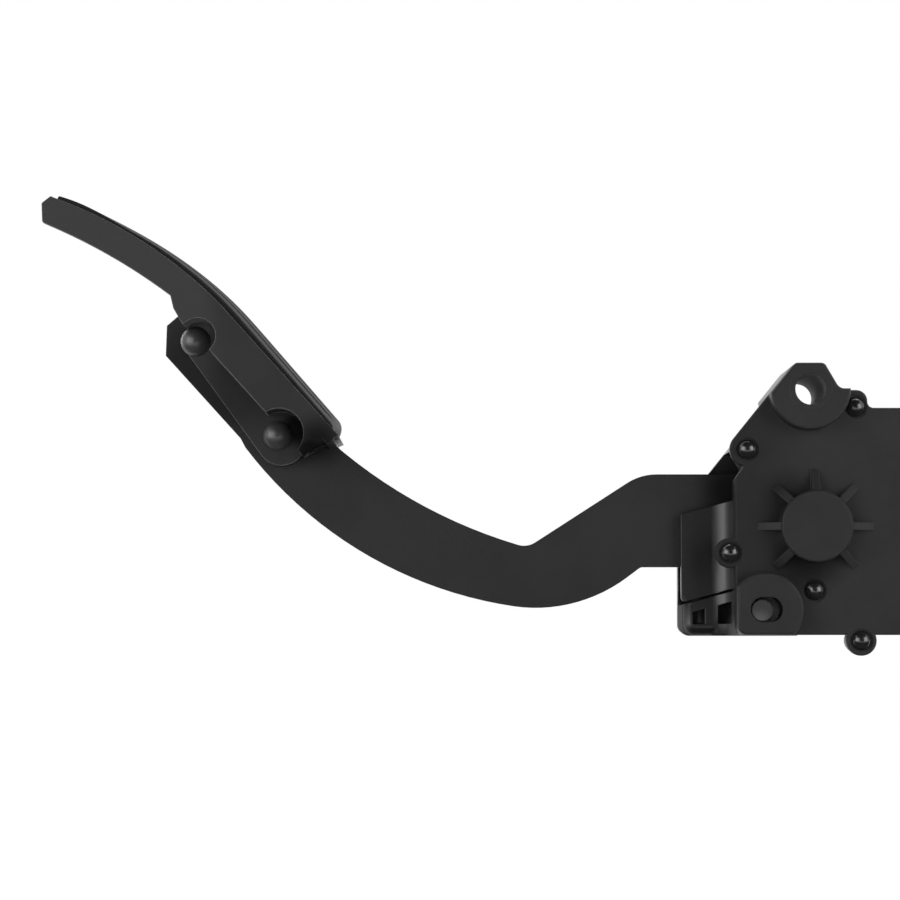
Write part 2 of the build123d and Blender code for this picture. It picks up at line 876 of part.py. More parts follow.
def pad_side(rise=0.0):
    """Side wall: the tongue and the deep web above the arm, its lower edge moved up by a rise."""
    start = below_face(pad_tip_angle, 0)
    rim_low = below_face(rim_low_angle, rim_low_depth)
    end = on_pad(pad_arc_end + pad_flat_length, pad_face_up - rim_end_depth)
    face = [ThreePointArc(start, below_face(rim_middle_angle, rim_middle_depth), rim_low), Line(rim_low, end)]
    root = below_face(tongue_root_angle, tongue_depth - rise)
    under = below_face(tongue_tip_angle, tongue_tip_depth - rise)
    end_low = on_pad(pad_arc_end + pad_flat_length - pad_end_lean, pad_face_up - pad_end_depth + rise)
    outline = Polyline(
        end,
        end_low,
        on_pad(-web_start, rise - web_drop),
        below_face(tongue_web_angle, tongue_web_depth - rise),
        root,
    )
    tongue = ThreePointArc(root, below_face(tongue_middle_angle, tongue_depth - rise), under)
    tip = FilletPolyline(
        under,
        start + Vector(lip_lean - lip_reach, rise - lip_bottom_drop),
        start + Vector(-lip_reach, -lip_front_drop),
        start + Vector(-lip_top_reach, lip_rise),
        start,
        radius=lip_corner,
    )
    return make_face([*face, *outline.edges(), tongue, *tip.edges()])


def pad_recess():
    """Opening in the side wall that shows the strap and its rivets."""
    upper = on_pad(recess_shift, recess_upper_up)
    lower = on_pad(pad_rivet_spacing + recess_shift, recess_lower_up)
    channel = shape(
        [
            on_pad(0, channel_upper_up),
            on_pad(pad_rivet_spacing, channel_lower_up),
            on_pad(pad_rivet_spacing, -pad_end_depth),
            on_pad(0, -pad_end_depth),
        ]
    )
    circles = disc((upper.X, upper.Y), recess_upper_radius) + disc((lower.X, lower.Y), recess_lower_radius)
    return circles + channel + [disc(place, pad_rivet_head + tread_gap) for place in pad_rivet_places()]


def strap_outline():
    upper = pad_rivet_places()[0]
    lower = on_pad(pad_rivet_spacing + strap_lower_shift, 0)
    ends = disc(upper, strap_upper_radius).edges() + disc((lower.X, lower.Y), strap_lower_radius).edges()
    return make_hull(ends)


def pad_carrier():
    side = pad_side()
    inner = pad_side(far_skirt_rise)
    recess = pad_recess()
    solid = plate(side - recess, pad_near, pad_near + pad_skin)
    solid += plate(inner - recess, pad_far - pad_skin, pad_far)
    solid += plate(pad_strip(tray_depth, tray_depth + tray_floor), pad_near, pad_far)

    # End wall, tip wall and the ribs that tie the skirts together
    end_box = inner - pad_strip(0, 2 * pad_end_depth, 0, pad_end_lean + pad_skin)
    end_box = end_box & pad_strip(0, 2 * pad_end_depth)
    solid += plate(end_box, pad_near, pad_far)
    start_x = below_face(pad_tip_angle, 0).X
    tip_box = inner - Pos(start_x + pad_arc_radius, 0) * Rectangle(2 * pad_arc_radius, 4 * pad_arc_radius)
    solid += plate(tip_box, pad_near, pad_far)
    for index in range(rib_count):
        angle = pad_tip_angle + (index + 1) * (pad_flat_angle - pad_tip_angle) / (rib_count + 1)
        foot = below_face(angle, 0)
        rib = Pos(foot.X, foot.Y) * Rot(0, 0, -angle) * Rectangle(pad_skin, 2 * pad_end_depth)
        solid += plate((rib & inner & pad_strip(tray_depth, pad_end_depth)) - recess, pad_near, pad_far)

    # Straps on both sides of the arm, with the walls of the rivet recess
    pad_end = pad_arc_end + pad_flat_length
    web = shape(
        [
            on_pad(-web_start, -pad_face_up),
            on_pad(pad_end, -pad_face_up),
            on_pad(pad_end, pad_face_up),
            on_pad(-web_start, pad_face_up),
        ]
    )
    strap = (side & web) + strap_outline()
    rim = offset(recess, pad_skin) - recess
    solid += plate(rim & side, pad_near, arm_near)
    solid += plate(rim & inner, arm_far, pad_far)
    solid += plate(strap, arm_near - ear_thickness, arm_near)
    solid += plate(strap, arm_far, arm_far + ear_thickness)
    tray = pad_strip(-tread_crown, tray_depth, tread_start - tread_gap, tread_end - tread_gap)
    solid -= plate(tray, pad_near + pad_skin, pad_far - pad_skin)
    for place in pad_rivet_places():
        solid -= rod(place, pad_rivet_shank, pad_near, pad_far)
    solid -= plate(offset(arm_outline(), tread_gap), arm_near, arm_far)
    pad_end_middle = on_pad(pad_end, pad_face_up - pad_end_depth / 2)
    end_middle = (pad_end_middle.X, pad_near, pad_end_middle.Y)
    end_edge = edges_at(solid, pad_near).sort_by_distance(end_middle)[0]
    return fillet(end_edge, pad_end_round)


def pad_tread():
    """Crowned rubber tread, with round grooves along it."""
    half = pad_width / 2 - pad_skin - tread_side_gap
    path = Wire(pad_line(0, tread_start, tread_end))
    base = Polyline((-half, tread_edge), (-half, -tray_depth), (half, -tray_depth), (half, tread_edge))
    crown = ThreePointArc((half, tread_edge), (0, tread_crown), (-half, tread_edge))
    rise = tread_crown - tread_edge
    bend = (half**2 + rise**2) / (2 * rise)
    outline = make_face([*base.edges(), crown])
    for index in range(groove_count):
        across = (index - (groove_count - 1) / 2) * groove_pitch
        outline -= disc((across, tread_crown - bend + math.sqrt(bend**2 - across**2)), groove_radius)
    frame = Plane(origin=path @ 0, x_dir=(0, 0, -1), z_dir=path % 0)
    return Pos(0, arm_middle, 0) * Rot(90, 0, 0) * sweep(frame * outline, path=path)


def pad_rivets():
    pieces = []
    for place in pad_rivet_places():
        near = arm_near - ear_thickness
        far = arm_far + ear_thickness
        heads = cap_of_sphere(place, pad_rivet_head, pad_rivet_dome, near, -1)
        heads += cap_of_sphere(place, pad_rivet_head, pad_rivet_dome, far, 1)
        pieces.append((heads + rod(place, pad_rivet_shank, near, far)).solid())
    return Compound(pieces)


parts = {
    "housing": housing(),
    "sensor_cover": sensor_cover(),
    "cover_rivets": cover_studs(),
    "cover_seal": plate(seal_outline(), cover_back, cover_back + seal_height),
    "upper_bolt_sleeve": tube(bolt_axis, sleeve_radius, bolt_hole / 2, 0, housing_back),
    "near_bush": near_bush(),
    "far_bush": far_bush(),
    "friction_washer": friction_washer(),
    "sensor_board": sensor_board(),
    "hall_chips": hall_chips(),
    "connector_terminals": terminals(),
    "return_spring_outer": coil(spring_outer_radius, spring_outer_wire, spring_outer_turns),
    "return_spring_inner": coil(spring_inner_radius, spring_inner_wire, spring_inner_turns),
    "idle_bumper": idle_bumper(),
    "end_cap": end_cap(),
    "pedal_arm": pedal_arm(),
    "pedal_rotor": pedal_rotor(),
    "arm_rivets": arm_rivets(),
    "pivot_shaft": pivot_shaft(),
    "shaft_retainer": shaft_retainer(),
    "magnet_holder": magnet_holder(),
    "magnet": magnet(),
    "pad_carrier": pad_carrier(),
    "pad_tread": pad_tread(),
    "pad_rivets": pad_rivets(),
}

os.makedirs("parts", exist_ok=True)
for name, solid in parts.items():
    export_step(solid, f"parts/{name}.step")
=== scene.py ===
import math

import bpy
import numpy as np
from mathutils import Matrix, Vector


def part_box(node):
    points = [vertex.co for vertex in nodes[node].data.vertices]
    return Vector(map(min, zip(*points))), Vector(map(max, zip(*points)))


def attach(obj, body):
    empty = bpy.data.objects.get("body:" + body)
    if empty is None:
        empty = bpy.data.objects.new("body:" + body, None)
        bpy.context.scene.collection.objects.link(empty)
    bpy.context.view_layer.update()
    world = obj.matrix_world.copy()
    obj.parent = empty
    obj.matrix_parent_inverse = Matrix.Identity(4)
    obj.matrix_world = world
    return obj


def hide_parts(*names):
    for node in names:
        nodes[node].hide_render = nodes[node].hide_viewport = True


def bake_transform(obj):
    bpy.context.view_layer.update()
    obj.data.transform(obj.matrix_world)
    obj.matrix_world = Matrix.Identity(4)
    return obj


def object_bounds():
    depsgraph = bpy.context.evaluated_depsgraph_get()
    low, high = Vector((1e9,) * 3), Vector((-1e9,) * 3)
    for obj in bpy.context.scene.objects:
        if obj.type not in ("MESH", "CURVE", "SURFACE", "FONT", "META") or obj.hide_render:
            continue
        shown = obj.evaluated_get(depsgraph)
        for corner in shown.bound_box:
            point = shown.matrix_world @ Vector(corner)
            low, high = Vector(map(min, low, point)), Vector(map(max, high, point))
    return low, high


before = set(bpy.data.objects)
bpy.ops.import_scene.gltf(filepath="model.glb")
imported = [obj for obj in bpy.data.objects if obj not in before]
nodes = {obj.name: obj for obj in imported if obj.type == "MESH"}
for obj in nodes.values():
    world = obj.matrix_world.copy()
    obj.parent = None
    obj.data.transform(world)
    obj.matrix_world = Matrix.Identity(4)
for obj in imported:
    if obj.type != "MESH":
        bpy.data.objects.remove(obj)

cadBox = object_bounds()
mm = 0.001
cloudMiddle = 0.5  # what soft noise comes to on average
firstColour, secondColour, mixedColour = 6, 7, 2  # the Mix node's sockets for colours
print("frame:", len(nodes), "pieces, size", [round(c, 4) for c in cadBox[1] - cadBox[0]])


class Wire:  # one output socket of a node tree; sums on it add Math nodes
    def __init__(self, tree, socket):
        self.tree = tree
        self.socket = socket

    def node(self, kind, settings, inputs, out=0):  # any other node of the same tree
        return makeNode(self.tree, kind, settings, inputs, out)

    def sum(self, operation, first, second):
        return self.node("Math", {"operation": operation}, {0: first, 1: second})

    def __add__(self, other):
        return self.sum("ADD", self, other)

    def __sub__(self, other):
        return self.sum("SUBTRACT", self, other)

    def __mul__(self, other):
        return self.sum("MULTIPLY", self, other)

    def __radd__(self, other):
        return self.sum("ADD", other, self)

    def __rsub__(self, other):
        return self.sum("SUBTRACT", other, self)

    def __rmul__(self, other):
        return self.sum("MULTIPLY", other, self)


def makeNode(tree, kind, settings, inputs, out=0):  # settings first, then values or links
    made = tree.nodes.new("ShaderNode" + kind)
    for key, value in settings.items():
        setattr(made, key, value)
    for key, value in inputs.items():
        if isinstance(value, Wire):
            tree.links.new(value.socket, made.inputs[key])
        else:
            made.inputs[key].default_value = value
    return Wire(tree, made.outputs[out])


def newFinish(name):  # a material, its empty tree, and the object's own coordinates in it
    material = bpy.data.materials.new(name)
    material.use_nodes = True
    tree = material.node_tree
    tree.nodes.clear()
    place = makeNode(tree, "TexCoord", {}, {}, "Object")
    return material, tree, place


def close(tree, shader):
    output = tree.nodes.new("ShaderNodeOutputMaterial")
    tree.links.new(shader.socket, output.inputs["Surface"])


def cloud(place, size, detail, rough):  # soft noise whose blobs are about size metres wide
    inputs = {"Vector": place, "Scale": 1 / size, "Detail": detail, "Roughness": rough}
    return place.node("TexNoise", {}, inputs)


def fade(value, low, high, first=0.0, last=1.0):  # smooth step from first to last
    return value.node(
        "MapRange",
        {"interpolation_type": "SMOOTHSTEP"},
        {"Value": value, "From Min": low, "From Max": high, "To Min": first, "To Max": last},
    )


def blend(mask, first, second):  # from a colour or wire to a second colour
    under = (*first, 1) if isinstance(first, tuple) else first
    inputs = {"Factor": mask, firstColour: under, secondColour: (*second, 1)}
    return mask.node("Mix", {"data_type": "RGBA"}, inputs, mixedColour)


def roundedEdge(place, radius):  # normal that softens sharp edges, and how near an edge the point is
    soft = place.node("Bevel", {"samples": 6}, {"Radius": radius})
    flat = place.node("NewGeometry", {}, {}, "Normal")
    facing = place.node("VectorMath", {"operation": "DOT_PRODUCT"}, {0: soft, 1: flat}, "Value")
    return soft, fade(1 - facing, low=0.02, high=0.25)


def bump(height, depth, normal):
    return height.node("Bump", {}, {"Height": height, "Distance": depth, "Normal": normal})


def paintLightAndShade(place, shader, spots):  # painted light and shade as matte films: each spot's middle, stretch, reach, share and grey
    for centre, stretch, reach, share, grey in spots:
        film = place.node("BsdfDiffuse", {}, {"Color": (grey, grey, grey, 1)})
        away = place.node("VectorMath", {"operation": "SUBTRACT"}, {0: place, 1: Vector(centre) * mm})
        away = place.node("VectorMath", {"operation": "MULTIPLY"}, {0: away, 1: stretch})
        far = place.node("VectorMath", {"operation": "LENGTH"}, {0: away}, "Value")
        thick = fade(far, reach[0] * mm, reach[1] * mm, share, 0.0)
        shader = place.node("MixShader", {}, {0: thick, 1: shader, 2: film})
    return shader


def faded(place, colour, look):  # paler on one side of a line across an axis
    if "pale" not in look:
        return colour
    along = place.node("SeparateXYZ", {}, {"Vector": place}, look["paleAxis"])
    return blend(fade(along, *look["paleFrom"]), colour, look["pale"])


def dusted(place, shader, look):  # dust that settles on faces that look up
    if "dust" not in look:
        return shader
    normal = place.node("NewGeometry", {}, {}, "Normal")
    upward = place.node("SeparateXYZ", {}, {"Vector": normal}, "Z")
    thick = fade(upward, *look["dustFrom"], 0.0, look["dustShare"])
    dust = place.node("BsdfDiffuse", {}, {"Color": (*look["dust"], 1)})
    return place.node("MixShader", {}, {0: thick, 1: shader, 2: dust})


def surface(place, look, colour, rough, normal):  # a plain shader under its films of painted light and shade, and its dust
    shader = place.node(
        "BsdfPrincipled",
        {},
        {"Base Color": colour, "Roughness": rough, "Specular IOR Level": look["shine"], "Normal": normal},
    )
    return dusted(place, paintLightAndShade(place, shader, look.get("paintedLightAndShade", [])), look)


def mouldedPlastic(name, look):  # spark-eroded grain, faint flow marks, edges rubbed smooth and painted paler: edge wear with a painted highlight
    material, tree, place = newFinish(name)
    soft, edge = roundedEdge(place, look["edgeRadius"])
    grain = cloud(place, look["grain"], detail=3.0, rough=0.6)
    flow = cloud(place, look["flow"], detail=4.0, rough=0.55)
    smudge = fade(cloud(place, look["smudge"], detail=5.0, rough=0.6), low=0.42, high=0.72)
    colour = faded(place, blend(fade(flow, low=0.3, high=0.7), look["dark"], look["light"]), look)
    # edges painted paler: partly wear, partly a painted highlight along them
    colour = blend(edge * look["edgeWearAndHighlightShare"], colour, look["edgeWearAndHighlight"])
    rough = look["rough"] + (flow - cloudMiddle) * look["roughSpread"]
    rough = rough - smudge * look["smudgeShine"] - edge * look["edgeShine"]
    normal = bump(grain, look["grainDepth"], soft)
    close(tree, surface(place, look, colour, rough, normal))
    return material


def powderCoat(name, look):  # baked coat: orange peel, a few dust nibs, thin on the edges, which are painted paler: edge wear with a painted highlight
    material, tree, place = newFinish(name)
    soft, edge = roundedEdge(place, look["edgeRadius"])
    peel = cloud(place, look["peel"], detail=2.0, rough=0.45)
    drift = cloud(place, look["drift"], detail=4.0, rough=0.55)
    spread = {"Vector": place, "Scale": 1 / look["nibSpacing"]}
    toNib = place.node("TexVoronoi", {"feature": "F1"}, spread, "Distance")
    nibs = fade(toNib, low=0.03, high=0.09, first=1.0, last=0.0)
    colour = faded(place, blend(fade(drift, low=0.3, high=0.7), look["dark"], look["light"]), look)
    # edges painted paler: partly wear, partly a painted highlight along them
    colour = blend(edge * look["edgeWearAndHighlightShare"], colour, look["edgeWearAndHighlight"])
    rough = look["rough"] + (drift - cloudMiddle) * look["roughSpread"] - edge * look["edgeShine"]
    normal = bump(nibs, look["nibHeight"], bump(peel, look["peelDepth"], soft))
    close(tree, surface(place, look, colour, rough, normal))
    return material


def drawnMetal(name, look):  # plain metal with fine drawing lines and a dull film
    material, tree, place = newFinish(name)
    stretched = place.node("Mapping", {}, {"Vector": place, "Scale": look["lines"]})
    lines = cloud(stretched, look["lineSize"], detail=3.0, rough=0.6)
    film = fade(cloud(place, look["film"], detail=4.0, rough=0.6), low=0.4, high=0.7)
    colour = blend(film, look["bright"], look["dull"])
    rough = look["rough"] + (lines - cloudMiddle) * look["roughSpread"] + film * look["filmRough"]
    soft, edge = roundedEdge(place, look["edgeRadius"])
    shader = place.node(
        "BsdfPrincipled",
        {},
        {
            "Base Color": colour,
            "Metallic": 1.0,
            "Roughness": rough - edge * look["edgeShine"],
            "Normal": bump(lines, look["lineDepth"], soft),
        },
    )
    close(tree, shader)
    return material


housingLook = {
    "dark": (0.0062, 0.0062, 0.0064),
    "light": (0.0084, 0.0084, 0.0086),
    "edgeWearAndHighlight": (0.030, 0.030, 0.031),
    "edgeWearAndHighlightShare": 0.35,
    "edgeShine": 0.08,
    "edgeRadius": 0.45 * mm,
    "grain": 0.32 * mm,
    "grainDepth": 0.008 * mm,
    "flow": 14 * mm,
    "smudge": 30 * mm,
    "smudgeShine": 0.04,
    "rough": 0.34,
    "roughSpread": 0.06,
    "shine": 0.58,
}
plainLook = dict(housingLook)
housingLook.update(dust=(0.028, 0.028, 0.027), dustFrom=(0.8, 0.97), dustShare=0.85)
# painted highlights on the cove and foot, painted shade in the hollows and beside the cove, painted light on
# the locating post and in the oval hole
housingLook["paintedLightAndShade"] = [
    ((-26.2, 12, -46), (1, 0.1, 0.06), (0.2, 1.8), 0.38, 0.14),  # cove's left side, painted highlight as a pale film
    ((-25.4, 12, -58), (1, 0.1, 0.15), (0.2, 1.8), 0.30, 0.25),  # painted highlight, paler at its lower end
    ((-21.3, 12, -46), (1, 0.1, 0.06), (0.8, 2.3), 0.30, 0.08),  # painted highlight, fainter on its right side
    ((-34.3, 24, -62.8), (2, 1, 0.75), (8.7, 9.6), 0.92, 0.012),  # painted shade in the left hollow of the foot
    ((-25.4, 24, -62.8), (1.06, 1, 0.75), (8.7, 9.6), 0.95, 0.009),  # painted shade in the right hollow of the foot
    ((-28, 20, -72.5), (0.1, 0.1, 1), (2, 5), 0.6, 0.016),  # painted shade along the foot's lower edge
    ((-39.0, 14, -66.5), (1, 0.1, 0.6), (2.8, 5.8), 0.75, 0.12),  # foot's left end, painted highlight as a pale film
    ((-25.2, 14, -70.5), (1, 0.1, 0.6), (1, 3.5), 0.6, 0.010),  # painted shade on its lower edge under the right hollow
    ((-20.3, 14, -70), (1, 0.1, 0.6), (0.5, 4), 0.7, 0.16),  # and beside the lower lug, painted highlight as a pale film
    ((-30.5, 14.8, -49), (1.3, 1, 0.4), (1, 8), 0.26, 0.004),  # painted shade on the guard, beside its cove
    ((-14.6, 6, -63.9), (1, 0.6, 1), (5.5, 7), 0.9, 0.20),  # painted light round the locating post
    ((-10.5, 8.4, -63.6), (1, 1, 1), (3.2, 4.6), 0.9, 0.24),  # painted light in the oval hole, its floor shown as lit
    ((-14.6, 0.3, -63.9), (1, 1, 1), (3.3, 4.0), 0.95, 0.045),  # end of the locating post, painted paler as lit
    ((-15.3, 0.3, -67.0), (1, 1, 1), (0.5, 4.5), 0.8, 0.12),  # its lower side, painted highlight
]
coverLook = dict(
    plainLook,
    dark=(0.0214, 0.0214, 0.0218),
    light=(0.0266, 0.0266, 0.0270),
    edgeWearAndHighlight=(0.085, 0.085, 0.086),
    edgeWearAndHighlightShare=0.5,
    grainDepth=0.012 * mm,
    rough=0.55,
    shine=0.25,
    # painted shade beside the guard and round the hub
    paintedLightAndShade=[
        ((-24, 7, -30), (1, 3, 0.45), (4, 30), 0.30, 0.006),  # painted shade along the left edge
        ((-1, 7, -50), (0.8, 3, 1), (3, 11.8), 0.75, 0.006),  # painted shadow under the hub
        ((-6.5, 6, -31.5), (0.8, 3, 0.8), (2, 9), 0.45, 0.006),  # painted shade above the hub, on the arm's side
    ],
)
padLook = dict(
    coverLook,
    dark=(0.0235, 0.0235, 0.0239),
    light=(0.0285, 0.0285, 0.0289),
    pale=(0.0405, 0.0405, 0.0409),
    paleAxis="X",
    paleFrom=(-168 * mm, -178 * mm),
    # very pale edges: mostly a painted highlight on the strap and recess edges
    edgeWearAndHighlight=(0.32, 0.32, 0.321),
    edgeWearAndHighlightShare=0.85,
    grain=0.25 * mm,
    rough=0.48,
    flow=18 * mm,
    # painted shade in corners, recesses and on the strap, painted light in the upper recess
    paintedLightAndShade=[
        ((-142.3, 3, -15.1), (1, 0.3, 1), (1.5, 10.5), 0.85, 0.006),  # painted shade in the corner between pad and arm
        ((-144.8, 1, -18.4), (1, 0.5, 1), (2.5, 4.5), 0.90, 0.006),  # painted shade over the pad's lower edge
        ((-149, 14, -10.4), (1, 1, 1), (2.5, 7), 0.92, 0.004),  # painted shadow in the recess beside the lower rivet
        ((-179, 14, 20.5), (1, 0.5, 1), (3.5, 6.5), 0.85, 0.12),  # painted light in the recess above the upper rivet
        ((-166, 14, 1.5), (0.5, 1, 0.5), (3, 10), 0.30, 0.006),  # painted shade on the strap
    ],
)
rubberLook = dict(
    coverLook,
    dark=(0.0175, 0.0175, 0.0175),
    light=(0.0235, 0.0235, 0.0233),
    grain=0.5 * mm,
    grainDepth=0.03 * mm,
    rough=0.66,
    edgeWearAndHighlightShare=0.5,
    shine=0.2,
    paintedLightAndShade=[],
)
studLook = dict(
    plainLook,
    dark=(0.0140, 0.0140, 0.0143),
    light=(0.0175, 0.0175, 0.0178),
    grain=0.8 * mm,
    grainDepth=0.004 * mm,
    edgeRadius=0.2 * mm,
    rough=0.20,
    smudgeShine=0.03,
    roughSpread=0.08,
    shine=0.9,
)
armLook = {
    "dark": (0.0206, 0.0206, 0.0210),
    "light": (0.0250, 0.0250, 0.0254),
    "edgeWearAndHighlight": (0.055, 0.055, 0.056),
    "edgeWearAndHighlightShare": 0.4,
    "edgeShine": 0.06,
    "edgeRadius": 0.6 * mm,
    "peel": 0.9 * mm,
    "peelDepth": 0.02 * mm,
    "drift": 25 * mm,
    "nibSpacing": 11 * mm,
    "nibHeight": 0.03 * mm,
    "rough": 0.46,
    "roughSpread": 0.10,
    "shine": 0.25,
}
domeLook = dict(
    armLook,
    dark=(0.035, 0.035, 0.0354),
    light=(0.042, 0.042, 0.0425),
    rough=0.34,
    shine=0.75,
    edgeRadius=0.3 * mm,
)
sleeveLook = dict(
    armLook,
    dark=(0.034, 0.034, 0.0345),
    light=(0.041, 0.041, 0.0415),
    pale=(0.125, 0.125, 0.126),  # bore: a painted reflection, paler than the sleeve's end
    paleAxis="Y",
    paleFrom=(0.2 * mm, 1.0 * mm),
    rough=0.62,
    shine=0.045,
    edgeRadius=0.2 * mm,
)
# painted shade and shadow on the arm
armLook["paintedLightAndShade"] = [
    ((-142.9, 18, -14.2), (1, 0.3, 1), (1.5, 10.5), 0.60, 0.006),  # painted shade in the corner between pad and arm
    ((-22, 18, -28), (1, 0.5, 1), (2, 12), 0.75, 0.004),  # painted shade where it goes under the cover
    ((-178, 18, 3), (1, 0.5, 1), (10, 22), 0.45, 0.010),  # painted shadow behind the pad
]
steelLook = {
    "bright": (0.56, 0.56, 0.57),
    "dull": (0.33, 0.33, 0.33),
    "lines": (1, 0.05, 1),
    "lineSize": 0.3 * mm,
    "lineDepth": 0.004 * mm,
    "film": 3 * mm,
    "filmRough": 0.14,
    "rough": 0.30,
    "roughSpread": 0.12,
    "edgeShine": 0.05,
    "edgeRadius": 0.2 * mm,
}
wireLook = dict(steelLook, bright=(0.44, 0.44, 0.45), dull=(0.25, 0.25, 0.26), lines=(1, 1, 0.1), rough=0.26)
brassLook = dict(
    steelLook,
    bright=(0.72, 0.64, 0.42),
    dull=(0.52, 0.44, 0.27),
    lines=(0.05, 1, 1),
    rough=0.24,
)
bushLook = dict(
    plainLook,
    dark=(0.50, 0.48, 0.42),
    light=(0.60, 0.58, 0.52),
    edgeWearAndHighlight=(0.66, 0.64, 0.58),
    shine=0.4,
    rough=0.40,
)
boardLook = dict(
    plainLook,
    dark=(0.016, 0.085, 0.035),
    light=(0.022, 0.11, 0.045),
    edgeWearAndHighlight=(0.20, 0.22, 0.12),
    shine=0.5,
    rough=0.3,
)
magnetLook = dict(
    plainLook,
    dark=(0.055, 0.055, 0.058),
    light=(0.08, 0.08, 0.083),
    rough=0.48,
    grain=0.2 * mm,
)

finishes = {
    "housingBlack": mouldedPlastic("housingBlack", housingLook),
    "coverBlack": mouldedPlastic("coverBlack", coverLook),
    "padBlack": mouldedPlastic("padBlack", padLook),
    "treadRubber": mouldedPlastic("treadRubber", rubberLook),
    "sealRubber": mouldedPlastic("sealRubber", dict(rubberLook, rough=0.6)),
    "studGloss": mouldedPlastic("studGloss", studLook),
    "armCoat": powderCoat("armCoat", armLook),
    "domeCoat": powderCoat("domeCoat", domeLook),
    "sleeveBlack": powderCoat("sleeveBlack", sleeveLook),
    "platedSteel": drawnMetal("platedSteel", steelLook),
    "springWire": drawnMetal("springWire", wireLook),
    "bladeBrass": drawnMetal("bladeBrass", brassLook),
    "bushPlastic": mouldedPlastic("bushPlastic", bushLook),
    "boardGreen": mouldedPlastic("boardGreen", boardLook),
    "magnetGrey": mouldedPlastic("magnetGrey", magnetLook),
}
wornBy = {
    "housingBlack": ["housing", "end_cap"],
    "coverBlack": ["sensor_cover"],
    "padBlack": ["pad_carrier", "pedal_rotor", "hall_chips"],
    "treadRubber": ["pad_tread"],
    "sealRubber": ["cover_seal", "idle_bumper"],
    "studGloss": ["cover_rivets"],
    "armCoat": ["pedal_arm"],
    "domeCoat": ["pad_rivets"],
    "sleeveBlack": ["upper_bolt_sleeve"],
    "platedSteel": ["arm_rivets", "pivot_shaft", "magnet_holder"],
    "springWire": ["return_spring_outer", "return_spring_inner", "shaft_retainer"],
    "bladeBrass": ["connector_terminals"],
    "bushPlastic": ["near_bush", "far_bush", "friction_washer"],
    "boardGreen": ["sensor_board"],
    "magnetGrey": ["magnet"],
}
for finish, wearers in wornBy.items():
    for wearer in wearers:
        nodes[wearer].data.materials.clear()
        nodes[wearer].data.materials.append(finishes[finish])
print("finishes:", len(finishes), "on", sum(len(wearers) for wearers in wornBy.values()), "pieces")

treadLook = {  # millimetres; the line of the pad's face is the CAD's own
    "rivet": (-179.1, 15.2),
    "faceUp": 14.27,
    "arcEnd": 4.9,
    "tipAngle": 16.6,
    "flatAngle": 49.0,
    "arcRadius": 116.4,
    "flatLength": 44.6,
    "skipStart": 0.9,
    "skipEnd": 1.6,
    "middleY": 20.7,
    "halfWidth": 17.0,
    "floor": -2.6,
    "edge": (1.2, -0.1),  # at the tip and further down
    "edgeFrom": (3, 25),
    "crown": (1.45, 2.35),
    "crownFrom": (25, 72),
    "grooveCount": 6,
    "groovePitch": 5.0,
    "grooveHalf": 1.15,
    "grooveDepth": 0.85,
    "grooveRunOut": (2.5, 7.0),  # the grooves begin and end softly, this far from the ends
    "edgeRound": (0.15, 0.6),
    "endRound": (0.5, 3.2),
    "alongSteps": 160,
    "acrossSteps": 221,
    "gather": 0.9,  # rings stand closer at the ends
}


def strip(a, b, c, d):  # four-cornered faces from four arrays of point numbers
    return np.stack([a, b, c, d], axis=-1).reshape(-1, 4)


def newPiece(name, points, faces, sharpAngle=50):  # edges that turn by more degrees stay sharp
    mesh = bpy.data.meshes.new(name)
    mesh.from_pydata(points.tolist(), [], faces)
    mesh.polygons.foreach_set("use_smooth", np.ones(len(mesh.polygons), dtype=bool))
    mesh.set_sharp_from_angle(angle=np.radians(sharpAngle))
    piece = bpy.data.objects.new(name, mesh)
    bpy.context.scene.collection.objects.link(piece)
    return piece


def roundOff(distance, radius):  # drop of a quarter round, at a distance in from the edge
    near = np.clip(radius - distance, 0, radius)
    return radius - np.sqrt(radius**2 - near**2)


def ease(value, low, high, first, last):  # smooth step from first to last
    t = np.clip((value - low) / (high - low), 0, 1)
    return first + (last - first) * t**2 * (3 - 2 * t)


